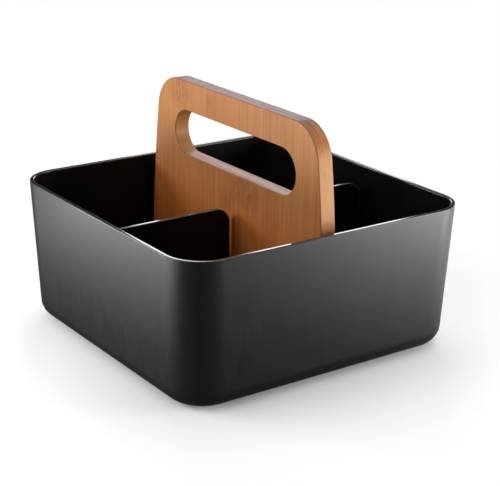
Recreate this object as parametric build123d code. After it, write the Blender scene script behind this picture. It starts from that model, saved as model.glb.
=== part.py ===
"""Utensil caddy: a drafted open tub, a laminated bamboo handle board and two loose dividers.

Millimetres, +Z up. X runs along the handle board and Y across it. The origin lies under the
middle of the tub, on the surface that the caddy stands on.
"""

from build123d import *
import os
from math import radians, tan

# Tub, one moulding
rim_length = 200.0  # outside, along the handle board
rim_width = 202.0  # outside, across the handle board
rim_height = 91.2  # top of the rim above the table
wall = 2.8
floor_thickness = 2.8
draft_angle = 2.35  # lean of the walls, in degrees
corner_radius = 23.8  # outside, in plan
base_radius = 11.5  # outside round between wall and underside
rim_outer_bevel = 0.4
rim_inner_bevel = 0.7
foot_ring_width = 7.0  # flat ring that frames the underside
underside_recess = 0.8
recess_corner_radius = 8.0

# Handle board, three glued plies
board_thickness = 10.3
core_thickness = 5.1
board_top = 149.4  # above the table
board_end_gap = 1.2  # to each end wall, where the board is widest
widest_height = 18.0
side_radius = 807.0  # the long curve of each side
top_corner_radius = 23.3
bottom_corner_radius = 14.0
board_edge_bevel = 0.6
grip_length = 129.2  # hand slot, end to end
grip_height = 28.6
grip_bar = 18.7  # wood left above the slot

# Socket that holds the foot of the board
seat_height = 2.4  # pad under the board, above the tub's floor
rail_height = 10.0  # above the tub's floor
rail_thickness = 2.0
end_guide_top = 40.0  # ribs beside the board's ends, above the table
end_guide_depth = 6.0
board_clearance = 0.3

# Divider panels and the guides that they drop into
divider_thickness = 2.5
divider_drop = 10.0  # top of a divider, below the rim
divider_corner_radius = 10.0
divider_draft = 1.0  # lean of the edge beside the board, in degrees
divider_wall_gap = 2.0
divider_edge_bevel = 0.5
guide_clearance = 0.3  # on each side of a panel
guide_thickness = 1.5
wall_guide_depth = 6.0
wall_guide_drop = 5.2  # top of the guide, below the round corner of the divider
wall_guide_lead = 8.0  # height of the sloping top
floor_guide_height = 3.0

# Screws from beneath into the core ply
screw_end_distance = 48.0  # in from the ends of the board
screw_radius = 1.75
screw_length = 22.0  # under the head
screw_head_radius = 3.6
screw_head_height = 2.4
recess_arm = 1.9  # cross recess, from the middle to the end of an arm
recess_slot = 0.8
recess_depth = 1.2
screw_web = 2.2  # plastic between a screw's head and the board
head_clearance = 0.9
shank_clearance = 0.3
pilot_clearance = 0.05
pilot_spare_depth = 2.0
core_out_width = 6.0  # hollows under the seat, beside the screws
core_out_gap = 3.0  # web from a hollow to a screw's pocket or to the next hollow

# Feet, four thin pads
foot_radius = 6.0
foot_proud = 0.6  # below the ring
foot_socket_depth = 0.4
foot_clearance = 0.2
foot_inset = 17.0  # centre, in from the edge of the flat underside

# Heights and distances that several pieces share
half_length = rim_length / 2
half_width = rim_width / 2
base_plane = foot_proud
floor_top = base_plane + floor_thickness
seat_top = floor_top + seat_height
pocket_ceiling = seat_top - screw_web
recess_ceiling = base_plane + underside_recess
foot_height = recess_ceiling + foot_socket_depth
board_face = board_thickness / 2
rail_face = board_face + board_clearance
guide_face = divider_thickness / 2 + guide_clearance
divider_top = rim_height - divider_drop
wall_guide_top = divider_top - divider_corner_radius - wall_guide_drop
rib_root = wall / 2  # how deep a rib is rooted in the wall or the floor
pocket_radius = screw_head_radius + head_clearance

STANDING = (Align.CENTER, Align.CENTER, Align.MIN)


def lean(height, angle):
    """Sideways run, over a height, of a face that leans by an angle."""
    return tan(radians(angle)) * height


def wall_face(half_size, inset, height):
    """Distance from the middle to a face of the leaning wall, at a height above the table."""
    return half_size - inset - lean(rim_height - height, draft_angle)


def underside_edge(half_size):
    """Distance from the middle to the edge of the flat underside."""
    return wall_face(half_size, base_radius, base_plane)


def standing_box(length, width, bottom, top, x, y):
    """Box between two heights, centred on x and y."""
    return Pos(x, y, bottom) * Box(length, width, top - bottom, align=STANDING)


def standing_cylinder(radius, bottom, top, x, y):
    """Upright cylinder between two heights."""
    return Pos(x, y, bottom) * Cylinder(radius, top - bottom, align=STANDING)


def tub_form(inset, bottom, top):
    """Solid form of the tub, a distance inside its outer skin: leaning walls, rounded corners and base."""
    length = 2 * (half_length - inset)
    width = 2 * (half_width - inset)
    form = standing_box(length, width, bottom, top, 0, 0)
    sides = form.faces().filter_by(Axis.Z, reverse=True)
    form = draft(sides, Plane.XY.offset(rim_height), -draft_angle)
    form = fillet(form.edges().filter_by(Plane.XY, reverse=True), corner_radius - inset)
    lower_edges = form.faces().sort_by(Axis.Z)[0].edges()
    return fillet(lower_edges, base_radius - inset)


def top_face(body):
    """The flat face of a body that lies highest."""
    return body.faces().filter_by(Axis.Z).sort_by(Axis.Z)[-1]


def shell():
    """Open tub of even wall, with both edges of its rim bevelled."""
    outside = tub_form(0, base_plane, rim_height)
    inside = tub_form(wall, floor_top, rim_height + wall)
    body = outside - inside
    body = chamfer(top_face(body).outer_wire().edges(), rim_outer_bevel)
    return chamfer(top_face(body).inner_wires()[0].edges(), rim_inner_bevel)


def wall_rib(half_size, depth, top):
    """Profile of an upright rib on a wall: distance from the middle, then height."""
    foot = floor_top - rib_root
    shoulder = top - wall_guide_lead
    return Polygon(
        (wall_face(half_size, wall - rib_root, foot), foot),
        (wall_face(half_size, wall - rib_root, top), top),
        (wall_face(half_size, wall + depth, shoulder), shoulder),
        (wall_face(half_size, wall + depth, foot), foot),
        align=None,
    )


def board_socket():
    """One quarter of what holds the foot of the board: a rail and an end guide."""
    foot = floor_top - rib_root
    rail_length = half_length - guide_face
    rail = standing_box(
        rail_length, rail_thickness, foot, floor_top + rail_height,
        guide_face + rail_length / 2, rail_face + rail_thickness / 2,
    )
    profile = Plane.XZ.offset(-rail_face - rail_thickness)
    end_guide = extrude(
        profile * wall_rib(half_length, end_guide_depth, end_guide_top), amount=rail_thickness
    )
    return rail + end_guide


def divider_guides():
    """One quarter of what holds a divider: a rib on the wall and a rib on the floor."""
    wall_guide = extrude(
        Plane.YZ.offset(guide_face) * wall_rib(half_width, wall_guide_depth, wall_guide_top),
        amount=guide_thickness,
    )
    start = rail_face + rail_thickness / 2
    length = half_width - start
    floor_guide = standing_box(
        guide_thickness, length, floor_top - rib_root, floor_top + floor_guide_height,
        guide_face + guide_thickness / 2, start + length / 2,
    )
    return wall_guide + floor_guide


def inner_ribs():
    """Seat, rails and guides, cut off inside the thickness of the walls and the floor."""
    quarter = board_socket() + divider_guides()
    half = quarter + mirror(quarter, about=Plane.YZ)
    ribs = half + mirror(half, about=Plane.XZ)
    ribs += standing_box(rim_length, 2 * rail_face, floor_top - rib_root, seat_top, 0, 0)
    return ribs & tub_form(rib_root, floor_top - rib_root, rim_height)


def board_half_width():
    """Half the width of the board at its widest, a gap short of the end walls."""
    return wall_face(half_length, wall, widest_height) - board_end_gap


def screw_places():
    """Places of the screws along the board, by name."""
    x = board_half_width() - screw_end_distance
    return {"screw_left": -x, "screw_right": x}


def core_out(start, end):
    """Long hollow under the seat, between two places along the board."""
    middle = (start + end) / 2
    return standing_box(end - start, core_out_width, base_plane, pocket_ceiling, middle, 0)


def foot_places():
    """Centres of the four feet, by name."""
    x = underside_edge(half_length) - foot_inset
    y = underside_edge(half_width) - foot_inset
    return {
        "foot_front_left": (-x, -y),
        "foot_front_right": (x, -y),
        "foot_back_left": (-x, y),
        "foot_back_right": (x, y),
    }


def underside_cuts():
    """Recess inside the foot ring, with the pockets for the screws and the feet."""
    recess_length = 2 * (underside_edge(half_length) - foot_ring_width)
    recess_width = 2 * (underside_edge(half_width) - foot_ring_width)
    recess = RectangleRounded(recess_length, recess_width, recess_corner_radius)
    cuts = extrude(Plane.XY.offset(base_plane) * recess, amount=underside_recess)
    for x in screw_places().values():
        cuts += standing_cylinder(pocket_radius, base_plane, pocket_ceiling, x, 0)
        cuts += standing_cylinder(screw_radius + shank_clearance, pocket_ceiling, seat_top, x, 0)
    margin = pocket_radius + core_out_gap
    screw_x = screw_places()["screw_right"]
    between = core_out(core_out_gap / 2, screw_x - margin)
    beyond = core_out(screw_x + margin, recess_length / 2 - core_out_gap)
    for hollow in (between, beyond):
        cuts += hollow
        cuts += mirror(hollow, about=Plane.YZ)
    for x, y in foot_places().values():
        cuts += standing_cylinder(foot_radius + foot_clearance, base_plane, foot_height, x, y)
    return cuts


def tub():
    """The moulded tub with its ribs inside and its pockets beneath."""
    return shell() + inner_ribs() - underside_cuts()


def board_outline():
    """Face of the handle board: two long side curves, rounded corners and the hand slot."""
    reach = board_half_width()
    blank = Pos(0, (board_top + seat_top) / 2) * Rectangle(2 * reach, board_top - seat_top)
    for side in (-1, 1):
        blank &= Pos(side * (side_radius - reach), widest_height) * Circle(side_radius)
    blank = fillet(blank.vertices().group_by(Axis.Y)[-1], top_corner_radius)
    blank = fillet(blank.vertices().group_by(Axis.Y)[0], bottom_corner_radius)
    grip_middle = board_top - grip_bar - grip_height / 2
    return blank - Pos(0, grip_middle) * SlotOverall(grip_length, grip_height)


def ply(start, end):
    """Layer of the handle board between two distances along Y."""
    return extrude(Plane.XZ.offset(-end) * board_outline(), amount=end - start)


def front_ply():
    """Layer that faces the front, with its outer edges bevelled."""
    layer = ply(-board_face, -core_thickness / 2)
    outer_edges = layer.faces().sort_by(Axis.Y)[0].edges()
    return chamfer(outer_edges, board_edge_bevel)


def core_ply():
    """Middle layer, drilled from below for the screws."""
    layer = ply(-core_thickness / 2, core_thickness / 2)
    hole_top = pocket_ceiling + screw_length + pilot_spare_depth
    for x in screw_places().values():
        layer -= standing_cylinder(screw_radius + pilot_clearance, seat_top, hole_top, x, 0)
    return layer


def divider():
    """Back divider: a flat panel with two round upper corners that stands on the floor."""
    board_side = rail_face + guide_clearance
    wall_inset = wall + divider_wall_gap
    outline = Polygon(
        (board_side, floor_top),
        (wall_face(half_width, wall_inset, floor_top), floor_top),
        (wall_face(half_width, wall_inset, divider_top), divider_top),
        (board_side + lean(divider_top - floor_top, divider_draft), divider_top),
        align=None,
    )
    outline = fillet(outline.vertices().group_by(Axis.Y)[-1], divider_corner_radius)
    outline = fillet(outline.vertices().sort_by(Axis.X)[-2:].sort_by(Axis.Y)[0], base_radius)
    panel = extrude(Plane.YZ * outline, amount=divider_thickness / 2, both=True)
    side_edges = panel.faces().filter_by(Axis.X).edges()
    return chamfer(side_edges, divider_edge_bevel)


def screw(x):
    """Screw, head down, with a cross recess in its head."""
    head_bottom = pocket_ceiling - screw_head_height
    head = standing_cylinder(screw_head_radius, head_bottom, pocket_ceiling, x, 0)
    for length, width in ((2 * recess_arm, recess_slot), (recess_slot, 2 * recess_arm)):
        head -= standing_box(length, width, head_bottom, head_bottom + recess_depth, x, 0)
    return head + standing_cylinder(screw_radius, pocket_ceiling, pocket_ceiling + screw_length, x, 0)


def foot(x, y):
    """Round pad, from the table up into its socket."""
    return standing_cylinder(foot_radius, 0, foot_height, x, y)


def pieces():
    """Every piece of the caddy by name."""
    made = {
        "tub": tub(),
        "handle_front_ply": front_ply(),
        "handle_core_ply": core_ply(),
        "handle_back_ply": mirror(front_ply(), about=Plane.XZ),
        "divider_front": mirror(divider(), about=Plane.XZ),
        "divider_back": divider(),
    }
    for name, x in screw_places().items():
        made[name] = screw(x)
    for name, (x, y) in foot_places().items():
        made[name] = foot(x, y)
    return made


os.makedirs("parts", exist_ok=True)
for name, shape in pieces().items():
    export_step(shape, "parts/" + name + ".step")
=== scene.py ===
"""Utensil caddy: satin black tub, laminated bamboo handle board and two loose dividers.

Laid out as an add-on and run as a script. Every piece is made in metres, in the frame of the CAD
model: the origin lies under the middle of the tub, X runs along the handle board and +Z is up.
"""

import math

import bmesh
import bpy
from mathutils import Matrix, Vector


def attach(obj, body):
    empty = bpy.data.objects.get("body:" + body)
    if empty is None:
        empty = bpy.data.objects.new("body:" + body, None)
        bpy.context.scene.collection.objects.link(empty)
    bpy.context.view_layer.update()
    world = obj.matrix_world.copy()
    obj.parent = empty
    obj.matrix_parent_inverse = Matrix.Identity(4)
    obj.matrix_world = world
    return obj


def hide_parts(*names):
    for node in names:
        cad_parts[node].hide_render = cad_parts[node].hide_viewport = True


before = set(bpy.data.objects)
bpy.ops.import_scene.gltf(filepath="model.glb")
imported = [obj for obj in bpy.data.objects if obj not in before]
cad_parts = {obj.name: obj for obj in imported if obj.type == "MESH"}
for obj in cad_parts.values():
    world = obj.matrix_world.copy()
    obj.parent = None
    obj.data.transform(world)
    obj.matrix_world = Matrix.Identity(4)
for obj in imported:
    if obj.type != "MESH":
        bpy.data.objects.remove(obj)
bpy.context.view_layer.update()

bl_info = {
    "name": "Utensil Caddy",
    "version": (1, 0, 0),
    "blender": (4, 5, 0),
    "location": "3D View > Sidebar > Caddy",
    "description": "Builds a divided caddy with a bamboo handle board",
    "category": "Add Mesh",
}

MM = 0.001
QUARTER = math.pi / 2
# Signs of the corners of a rectangle, counterclockwise
CORNERS = ((1, 1), (-1, 1), (-1, -1), (1, -1))
ROWS = (("front", -1), ("back", 1))
COLUMNS = (("left", -1), ("right", 1))
# Faces that meet at more than this angle keep a sharp edge
SHARP_ANGLE = math.radians(32)
WHITE = (1, 1, 1, 1)


# ---------------------------------------------------------------- settings


def length(name, description, default_mm):
    """Property for a length, with its default in millimetres."""
    return bpy.props.FloatProperty(
        name=name, description=description, default=default_mm * MM, min=0.0,
        unit="LENGTH", subtype="DISTANCE", precision=5,
    )


def angle(name, description, default_degrees):
    """Property for an angle, with its default in degrees."""
    return bpy.props.FloatProperty(
        name=name, description=description, default=math.radians(default_degrees),
        unit="ROTATION", subtype="ANGLE",
    )


def count(name, description, default, least):
    """Property for a number of faces."""
    return bpy.props.IntProperty(
        name=name, description=description, default=default, min=least, max=128,
    )


def colour(name, description, default):
    """Property for a linear colour."""
    return bpy.props.FloatVectorProperty(
        name=name, description=description, default=default, size=3, min=0.0, max=1.0,
        subtype="COLOR",
    )


def share(name, description, default):
    """Property for a value from nought to one."""
    return bpy.props.FloatProperty(
        name=name, description=description, default=default, min=0.0, max=1.0, subtype="FACTOR",
    )


def pointer(name, description, group):
    """Property that holds a group of settings."""
    return bpy.props.PointerProperty(name=name, description=description, type=group)


class CaddyTubSettings(bpy.types.PropertyGroup):
    """Sizes of the moulded tub."""

    rim_length: length("Rim length", "Outside, along the handle board", 200.0)
    rim_width: length("Rim width", "Outside, across the handle board", 202.0)
    rim_height: length("Rim height", "Top of the rim above the table", 91.2)
    base_height: length("Base height", "Underside ring above the table", 0.6)
    wall: length("Wall", "Thickness of the walls and the floor", 2.8)
    corner_radius: length("Corner radius", "Outside corners, in plan", 23.8)
    base_radius: length("Base radius", "Outside round between wall and underside", 11.5)
    rim_outer_round: length("Outer lip round", "Round of the rim's outer edge", 0.55)
    rim_inner_round: length("Inner lip round", "Round of the rim's inner edge", 0.9)
    draft: angle("Draft", "Lean of the walls", 2.35)
    corner_steps: count("Corner steps", "Faces round each corner", 32, 4)
    wall_steps: count("Wall steps", "Faces along each straight wall", 28, 1)


class CaddySocketSettings(bpy.types.PropertyGroup):
    """Sizes of the ribs inside the tub and of the pockets beneath it."""

    seat_height: length("Seat height", "Pad under the board, above the floor", 2.4)
    rail_height: length("Rail height", "Rails beside the board, above the floor", 10.0)
    rail_thickness: length("Rail thickness", "Thickness of the rails and the end guides", 2.0)
    rail_face: length("Rail face", "From the middle plane to the rails", 5.45)
    end_guide_top: length("End guide top", "Ribs at the board's ends, above the table", 40.0)
    guide_depth: length("Guide depth", "How far the upright ribs stand out of the walls", 6.0)
    guide_lead: length("Guide lead", "Height of the sloping top of the upright ribs", 8.0)
    guide_face: length("Guide face", "From the middle plane to the divider guides", 1.55)
    guide_thickness: length("Guide thickness", "Thickness of the divider guides", 1.5)
    wall_guide_top: length("Wall guide top", "Top of the divider guides above the table", 66.0)
    floor_guide_height: length("Floor guide height", "Low ribs under the dividers", 3.0)
    ring_width: length("Ring width", "Flat ring that frames the underside", 7.0)
    recess: length("Recess", "Depth of the underside inside the ring", 0.8)
    recess_round: length("Recess corner", "Corner radius of the recess", 8.0)
    pocket_radius: length("Pocket radius", "Pockets for the screw heads", 4.5)
    pocket_ceiling: length("Pocket ceiling", "Top of the pockets above the table", 3.6)
    shank_hole: length("Shank hole", "Radius of the clearance holes", 2.05)
    core_out_width: length("Hollow width", "Width of the hollows under the seat", 6.0)
    core_out_gap: length("Hollow gap", "Web beside the hollows", 3.0)
    foot_hole: length("Foot socket", "Radius of the sockets for the feet", 6.2)
    foot_socket: length("Foot socket depth", "Depth of the sockets above the recess", 0.4)
    foot_inset: length("Foot inset", "Foot centres, in from the edge of the flat underside", 17.0)


class CaddyBoardSettings(bpy.types.PropertyGroup):
    """Sizes of the handle board."""

    thickness: length("Thickness", "All three plies", 10.3)
    core: length("Core", "Thickness of the middle ply", 5.1)
    top: length("Top", "Top of the board above the table", 149.4)
    foot: length("Foot", "Underside of the board above the table", 5.8)
    reach: length("Half width", "At the widest height", 92.99)
    widest: length("Widest height", "Where the board is widest", 18.0)
    side_radius: length("Side radius", "The long curve of each side", 807.0)
    top_round: length("Top corners", "Radius of the upper corners", 23.3)
    foot_round: length("Lower corners", "Radius of the lower corners", 14.0)
    edge_round: length("Edge round", "Round of the outer edges", 0.6)
    grip_length: length("Grip length", "Hand slot, end to end", 129.2)
    grip_height: length("Grip height", "Height of the hand slot", 28.6)
    grip_bar: length("Grip bar", "Wood above the hand slot", 18.7)


class CaddyDividerSettings(bpy.types.PropertyGroup):
    """Sizes of the loose dividers."""

    thickness: length("Thickness", "Thickness of a panel", 2.5)
    top: length("Top", "Top of a panel above the table", 81.2)
    corner_radius: length("Corner radius", "Upper corners", 10.0)
    board_side: length("Board side", "From the middle plane to the panel's lower edge", 5.75)
    wall_gap: length("Wall gap", "From the panel to the wall", 2.0)
    lean: angle("Lean", "Lean of the edge beside the board", 1.0)
    edge_round: length("Edge round", "Round of the panel's edges", 0.55)


class CaddyFastenerSettings(bpy.types.PropertyGroup):
    """Sizes of the screws and the feet."""

    screw_x: length("Screw place", "From the middle to each screw", 44.99)
    screw_length: length("Screw length", "Under the head", 22.0)
    screw_radius: length("Screw radius", "Over the thread", 1.75)
    core_radius: length("Core radius", "Under the thread", 1.25)
    thread_pitch: length("Thread pitch", "From turn to turn", 1.3)
    head_radius: length("Head radius", "Radius of a screw's head", 3.6)
    head_height: length("Head height", "Height of a screw's head", 2.4)
    foot_radius: length("Foot radius", "Radius of a foot", 6.0)
    foot_height: length("Foot height", "Height of a foot", 1.8)
    foot_round: length("Foot round", "Round of a foot's lower edge", 0.35)


class CaddyFinishSettings(bpy.types.PropertyGroup):
    """Colours and surfaces."""

    plastic: colour("Plastic", "Black of the tub and the dividers", (0.0062, 0.0062, 0.0064))
    skin_roughness: share("Outer skin", "Satin of the textured outer walls", 0.40)
    inside_roughness: share("Inner skin", "Smoother skin of the inside", 0.3)
    rim_roughness: share("Rim", "Polished top of the rim", 0.10)
    divider_roughness: share("Divider skin", "Satin of the dividers", 0.26)
    bamboo_light: colour("Light bamboo", "Light fibres of the board", (0.60, 0.258, 0.083))
    bamboo_dark: colour("Dark bamboo", "Dark fibres of the board", (0.375, 0.139, 0.036))
    bamboo_roughness: share("Bamboo roughness", "Oiled finish of the board", 0.45)
    steel: colour("Steel", "Plated screws", (0.58, 0.58, 0.60))
    rubber: colour("Rubber", "Non-slip feet", (0.03, 0.03, 0.031))


class CaddyStageSettings(bpy.types.PropertyGroup):
    """Camera and floor."""

    camera_place: bpy.props.FloatVectorProperty(
        name="Camera place", description="Where the camera stands", size=3,
        default=(0.677608, -0.468578, 0.346916), subtype="XYZ_LENGTH", unit="LENGTH",
    )
    camera_turn: bpy.props.FloatVectorProperty(
        name="Camera turn", description="Heading, dip and roll of the camera", size=3,
        default=(0.956547, 0.339221, 0.014798), subtype="EULER", unit="ROTATION",
    )
    camera_lens: bpy.props.FloatProperty(
        name="Lens", description="Focal length in millimetres", default=100.93, min=10.0,
    )
    floor_colour: colour("Floor", "Pale floor", (0.9, 0.9, 0.9))
    floor_radius: length("Floor radius", "Reach of the floor", 6000.0)
    floor_glow: share("Floor glow", "How far the floor is lifted to white", 0.25)


class CaddySettings(bpy.types.PropertyGroup):
    """Settings of the whole caddy."""

    tub: pointer("Tub", "Sizes of the tub", CaddyTubSettings)
    socket: pointer("Ribs and pockets", "Sizes of the ribs and pockets", CaddySocketSettings)
    board: pointer("Board", "Sizes of the handle board", CaddyBoardSettings)
    divider: pointer("Dividers", "Sizes of the loose panels", CaddyDividerSettings)
    fastener: pointer("Fasteners", "Sizes of the screws and feet", CaddyFastenerSettings)
    finish: pointer("Finish", "Colours and surfaces", CaddyFinishSettings)
    stage: pointer("Stage", "Camera and floor", CaddyStageSettings)


def settings():
    """All settings of the caddy."""
    return bpy.context.scene.caddy


# ---------------------------------------------------------------- mesh helpers


def smooth_faces(mesh):
    """Smooth shading, with sharp edges between faces that meet at a clear angle."""
    mesh.shade_smooth()
    mesh.set_sharp_from_angle(angle=SHARP_ANGLE)


def add_materials(mesh, materials):
    """Adds materials to a mesh's slots, in order."""
    for material in materials:
        mesh.materials.append(material)


def new_object(name, bm, *materials):
    """Object of a bmesh, with its faces turned outwards and shaded."""
    bmesh.ops.recalc_face_normals(bm, faces=bm.faces)
    mesh = bpy.data.meshes.new(name)
    bm.to_mesh(mesh)
    bm.free()
    smooth_faces(mesh)
    add_materials(mesh, materials)
    piece = bpy.data.objects.new(name, mesh)
    bpy.context.scene.collection.objects.link(piece)
    return piece


def even_normals(piece):
    """Keeps flat faces flat beside rounded edges."""
    modifier = piece.modifiers.new("even normals", "WEIGHTED_NORMAL")
    modifier.mode = "FACE_AREA"
    modifier.weight = 60
    modifier.keep_sharp = True


def settle(piece, body, node, slot):
    """Gives a piece its body and hides the CAD node that it stands for. The slot is not used."""
    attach(piece, body)
    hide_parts(node)


def add_rings(bm, rings):
    """Skin of four-sided faces between closed rings of points. Returns the rings' vertices."""
    rows = [[bm.verts.new(point) for point in ring] for ring in rings]
    for low, high in zip(rows, rows[1:]):
        for k in range(len(low)):
            n = (k + 1) % len(low)
            bm.faces.new((low[k], low[n], high[n], high[k]))
    return rows


def closed_body(rings):
    """Closed bmesh through rings of points, with flat ends."""
    bm = bmesh.new()
    rows = add_rings(bm, rings)
    bm.faces.new(list(reversed(rows[0])))
    bm.faces.new(rows[-1])
    return bm


def combine(piece, other, operation):
    """Joins, cuts or intersects a piece with another one, which is then removed."""
    modifier = piece.modifiers.new("combine", "BOOLEAN")
    modifier.operation = operation
    modifier.solver = "MANIFOLD"
    modifier.object = other
    evaluated = piece.evaluated_get(bpy.context.evaluated_depsgraph_get())
    mesh = bpy.data.meshes.new_from_object(evaluated)
    if not mesh.polygons:
        raise RuntimeError(f"nothing is left of {piece.name} after it met {other.name}")
    piece.modifiers.clear()
    used = (piece.data, other.data)
    mesh.name = piece.data.name
    piece.data = mesh
    bpy.data.objects.remove(other)
    for old in used:
        bpy.data.meshes.remove(old)


def upright(x, y, z):
    """Place of a prism that stands on its outline."""
    return (x, y, z)


def prism(name, outline, place, depths, ease=0.0):
    """Closed prism: an outline of (a, b) points, carried by place(a, b, depth) to two depths."""
    bm = closed_body([[place(a, b, depth) for a, b in outline] for depth in depths])
    if ease:
        bmesh.ops.bevel(
            bm, geom=list(bm.edges), offset=ease, segments=2, profile=0.5, affect="EDGES",
        )
    return new_object(name, bm)


def rectangle(low, high):
    """The four corners between two opposite ones."""
    return [low, (high[0], low[1]), high, (low[0], high[1])]


def corner_arcs(across, along, radius, steps):
    """Quarter circles round the corners of a rectangle, centred half its sides from the middle."""
    arcs = []
    for quarter, (sx, sy) in enumerate(CORNERS):
        turns = [(quarter + step / steps) * QUARTER for step in range(steps + 1)]
        arcs.append([
            (sx * across + radius * math.cos(turn), sy * along + radius * math.sin(turn))
            for turn in turns
        ])
    return arcs


def rounded_outline(half_x, half_y, radius, steps=10):
    """Rounded rectangle as a list of points."""
    return sum(corner_arcs(half_x - radius, half_y - radius, radius, steps), [])


def lathe_rings(x, y, profile, steps):
    """Rings round an upright axis through (radius, height) points."""
    turns = [math.tau * k / steps for k in range(steps)]
    return [[(x + r * math.cos(a), y + r * math.sin(a), z) for a in turns] for r, z in profile]


def drum(name, x, y, radius, low, high, steps=64):
    """Closed upright cylinder."""
    return new_object(name, closed_body(lathe_rings(x, y, [(radius, low), (radius, high)], steps)))


# ---------------------------------------------------------------- tub

# Material slots of the tub
TEXTURED, SMOOTH, POLISHED = range(3)

# Faces over the round of the base, up the wall and over each half of the rim
OUTER_BASE_STEPS, OUTER_WALL_STEPS = 14, 20
INNER_BASE_STEPS, INNER_WALL_STEPS = 12, 16
CORE_BASE_STEPS = 8
RIM_STEPS = 6

RIB_EASE = 0.25 * MM
SHANK_HOLE_STEPS = 40
# Corners of the hollows under the seat: radius, and faces round each
HOLLOW_CORNER, HOLLOW_STEPS = 0.8 * MM, 4
# How far a cutter reaches past the face that it opens
CUT_THROUGH = 1 * MM


def wall_shift(tub, height):
    """How far the leaning walls stand in at a height, compared with the rim."""
    return math.tan(tub.draft) * (tub.rim_height - height)


def wall_at(tub, size, inset, height):
    """Distance from the middle to a face of the wall, for a side of the given length."""
    return size / 2 - inset - wall_shift(tub, height)


def tub_ring(tub, height, inset):
    """Closed ring of points round the tub, a distance inside its outer skin."""
    across = tub.rim_length / 2 - tub.corner_radius - wall_shift(tub, height)
    along = tub.rim_width / 2 - tub.corner_radius - wall_shift(tub, height)
    arcs = corner_arcs(across, along, tub.corner_radius - inset, tub.corner_steps)
    corners = [[Vector((x, y, height)) for x, y in arc] for arc in arcs]
    ring = []
    for quarter, corner in enumerate(corners):
        start, end = corner[-1], corners[(quarter + 1) % len(corners)][0]
        ring += corner
        ring += [start.lerp(end, step / tub.wall_steps) for step in range(1, tub.wall_steps)]
    return ring


def base_rows(tub, floor, inset, radius, steps):
    """(height, inset) rows of the round between the flat base and the leaning wall, from below."""
    rows = []
    for step in range(steps + 1):
        turn = QUARTER + (tub.draft - QUARTER) * step / steps
        out = (radius / math.cos(tub.draft) - radius * math.cos(turn)
               - radius * math.tan(tub.draft) * math.sin(turn))
        rows.append((floor + radius - radius * math.sin(turn), inset + out))
    return rows


def wall_rows(start, end, inset, steps):
    """(height, inset) rows of a plain stretch of wall, without its two ends."""
    return [(start + (end - start) * step / steps, inset) for step in range(1, steps)]


def rim_rows(tub):
    """(height, inset) rows over the rim, from the outside to the inside."""
    outer, inner = tub.rim_outer_round, tub.rim_inner_round
    turns = [QUARTER * step / RIM_STEPS for step in range(RIM_STEPS + 1)]
    return [
        (tub.rim_height - outer + outer * math.sin(turn), outer - outer * math.cos(turn))
        for turn in turns
    ] + [
        (tub.rim_height - inner + inner * math.sin(turn), tub.wall - inner + inner * math.cos(turn))
        for turn in reversed(turns)
    ]


def tub_shell(tub, materials):
    """The moulding without ribs and pockets: textured outside, smooth inside, polished rim."""
    floor = tub.base_height + tub.wall
    outside = base_rows(tub, tub.base_height, 0, tub.base_radius, OUTER_BASE_STEPS)
    inside = base_rows(tub, floor, tub.wall, tub.base_radius - tub.wall, INNER_BASE_STEPS)
    inside.reverse()
    outside += wall_rows(
        outside[-1][0], tub.rim_height - tub.rim_outer_round, 0, OUTER_WALL_STEPS)
    rim = rim_rows(tub)
    inner_wall = wall_rows(
        tub.rim_height - tub.rim_inner_round, inside[0][0], tub.wall, INNER_WALL_STEPS)
    rings = [tub_ring(tub, *row) for row in outside + rim + inner_wall + inside]
    bm = closed_body(rings)
    bm.faces.ensure_lookup_table()
    rim_start = len(outside) * len(rings[0])
    rim_end = rim_start + (len(rim) - 1) * len(rings[0])
    for face in bm.faces[rim_start:rim_end]:
        face.material_index = POLISHED
    # The last two faces are the flat underside and the flat floor inside
    for face in bm.faces[rim_end:-2] + [bm.faces[-1]]:
        face.material_index = SMOOTH
    return new_object("tub", bm, *materials)


def tub_core(tub, inset):
    """Solid form that lies inside the thickness of the walls, up to the rim."""
    floor = tub.base_height + inset
    rows = base_rows(tub, floor, inset, tub.base_radius - inset, CORE_BASE_STEPS)
    rows.append((tub.rim_height, inset))
    return new_object("core", closed_body([tub_ring(tub, *row) for row in rows]))


def rib_outline(tub, socket, size, top):
    """Upright rib on a wall: (distance from the middle, height) points."""
    root = tub.wall / 2
    foot = tub.base_height + root
    shoulder = top - socket.guide_lead
    depth = tub.wall + socket.guide_depth
    corners = ((root, foot), (root, top), (depth, shoulder), (depth, foot))
    return [(wall_at(tub, size, inset, height), height) for inset, height in corners]


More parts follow.
